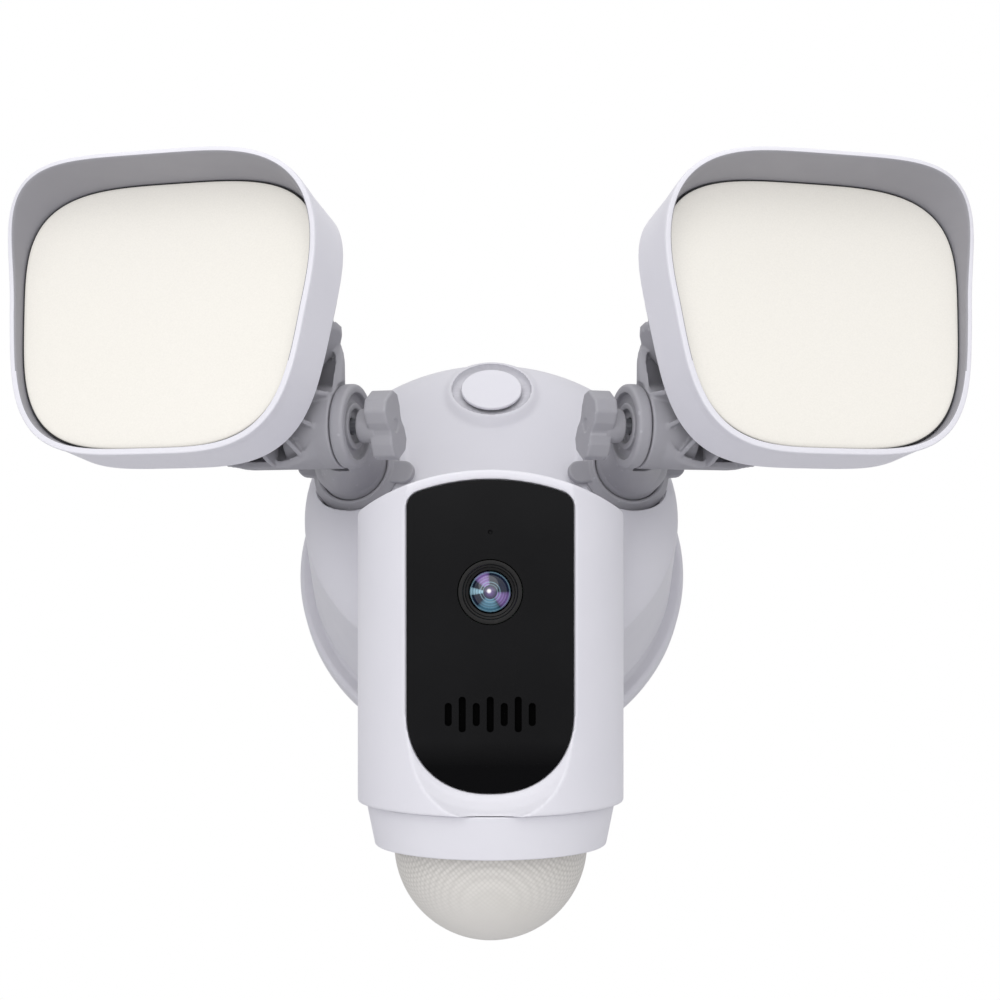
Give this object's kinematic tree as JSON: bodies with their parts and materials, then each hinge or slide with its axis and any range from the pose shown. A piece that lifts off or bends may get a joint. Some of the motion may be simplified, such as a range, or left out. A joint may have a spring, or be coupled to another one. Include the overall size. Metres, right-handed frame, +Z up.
{
  "type": "floodlight security camera",
  "caption": "Wall-mounted security camera: round base, swivelling hooded floodlights on knuckle joints, and a tilting camera head with a lens window and a dome motion sensor.",
  "frame": {"origin": "centre of the wall bracket's rear face, in the plane of the wall", "axes": "+Y goes straight into the wall, +Z is up and +X runs along the wall towards the lamp named right; -Y faces the viewer"},
  "size_m": [0.308, 0.169, 0.2283],
  "materials": {
    "white_plastic": "satin injection-moulded plastic, cool white",
    "grey_plastic": "satin injection-moulded plastic, light grey",
    "hood_plastic": "satin injection-moulded plastic, pale grey",
    "diffuser_plastic": "opal light diffuser, faintly warm white",
    "gloss_black": "polished black acrylic",
    "black_plastic": "fine-textured black plastic",
    "fresnel_plastic": "translucent milky polyethylene with fine lenslets",
    "black_rubber": "soft matt rubber",
    "zinc_steel": "zinc-plated steel",
    "aluminium_plate": "bare aluminium sheet",
    "circuit_board": "green solder mask",
    "copper_winding": "lacquered copper",
    "lens_glass": "coated optical glass with a violet-blue sheen"
  },
  "bodies": {
    "base": {"wall_bracket": "zinc_steel", "wall_gasket": "black_rubber", "base_shell": "white_plastic", "base_cover": "white_plastic", "mounting_bolt": "zinc_steel", "wire_grommet": "black_rubber", "driver_board": "circuit_board", "driver_transformer": "copper_winding", "terminal_block": "black_plastic", "cover_screw_1": "zinc_steel", "cover_screw_2": "zinc_steel", "cover_screw_3": "zinc_steel", "cover_screw_4": "zinc_steel", "neck_lug": "white_plastic", "neck_nut": "zinc_steel", "tilt_pin": "zinc_steel"},
    "service_cap": {"service_cap": "white_plastic", "service_cap_seal": "black_rubber"},
    "camera_head": {"head_front_shell": "white_plastic", "head_rear_shell": "white_plastic", "front_window": "gloss_black", "lens_ring": "black_plastic", "lens_barrel": "black_plastic", "lens_glass": "lens_glass", "image_sensor": "circuit_board", "main_board": "circuit_board", "speaker": "black_plastic", "microphone": "black_plastic", "bottom_skirt": "white_plastic", "pir_dome": "fresnel_plastic", "pir_sensor": "zinc_steel", "pir_board": "circuit_board", "wifi_antenna": "copper_winding"},
    "left_collar": {"left_collar": "grey_plastic"},
    "left_turret": {"left_turret": "grey_plastic", "left_turret_seal": "black_rubber", "left_clamp_bolt": "zinc_steel", "left_friction_washer": "black_rubber"},
    "left_knob": {"left_wing_knob": "grey_plastic"},
    "left_lamp": {"left_lamp_housing": "grey_plastic", "left_lamp_bezel": "hood_plastic", "left_lamp_diffuser": "diffuser_plastic", "left_lamp_gasket": "black_rubber", "left_led_board": "circuit_board", "left_heat_plate": "aluminium_plate"},
    "right_collar": {"right_collar": "grey_plastic"},
    "right_turret": {"right_turret": "grey_plastic", "right_turret_seal": "black_rubber", "right_clamp_bolt": "zinc_steel", "right_friction_washer": "black_rubber"},
    "right_knob": {"right_wing_knob": "grey_plastic"},
    "right_lamp": {"right_lamp_housing": "grey_plastic", "right_lamp_bezel": "hood_plastic", "right_lamp_diffuser": "diffuser_plastic", "right_lamp_gasket": "black_rubber", "right_led_board": "circuit_board", "right_heat_plate": "aluminium_plate"}
  },
  "joints": [
    {"name": "left_swivel", "type": "hinge", "parent": "base", "child": "left_turret", "pos_m": [-0.0458, -0.071, 0.0109], "axis": [0.3086, 0.9498, 0.0523], "range_deg": [-30, 8]},
    {"name": "left_collar_turn", "type": "hinge", "parent": "base", "child": "left_collar", "pos_m": [-0.0458, -0.071, 0.0109], "axis": [0.3086, 0.9498, 0.0523], "range_deg": [-12, 3]},
    {"name": "left_tilt", "type": "hinge", "parent": "left_turret", "child": "left_lamp", "pos_m": [-0.05614, -0.10282, 0.00915], "axis": [0.9454, -0.3002, -0.1269], "range_deg": [-22, 20]},
    {"name": "left_knob_turn", "type": "hinge", "parent": "left_turret", "child": "left_knob", "pos_m": [-0.05614, -0.10282, 0.00915], "axis": [0.9454, -0.3002, -0.1269], "continuous": true},
    {"name": "right_swivel", "type": "hinge", "parent": "base", "child": "right_turret", "pos_m": [0.0458, -0.071, 0.0109], "axis": [0.3086, -0.9498, -0.0523], "range_deg": [-30, 8]},
    {"name": "right_collar_turn", "type": "hinge", "parent": "base", "child": "right_collar", "pos_m": [0.0458, -0.071, 0.0109], "axis": [0.3086, -0.9498, -0.0523], "range_deg": [-12, 3]},
    {"name": "right_tilt", "type": "hinge", "parent": "right_turret", "child": "right_lamp", "pos_m": [0.05614, -0.10282, 0.00915], "axis": [0.9454, 0.3002, 0.1269], "range_deg": [-22, 20]},
    {"name": "right_knob_turn", "type": "hinge", "parent": "right_turret", "child": "right_knob", "pos_m": [0.05614, -0.10282, 0.00915], "axis": [0.9454, 0.3002, 0.1269], "continuous": true},
    {"name": "head_tilt", "type": "hinge", "parent": "base", "child": "camera_head", "pos_m": [0, -0.08278, -0.02247], "axis": [1, 0, 0], "range_deg": [-20, 0]},
    {"name": "service_cap_pull", "type": "slide", "parent": "base", "child": "service_cap", "axis": [0, -0.9272, 0.3746], "range_m": [0, 0.012]}
  ]
}
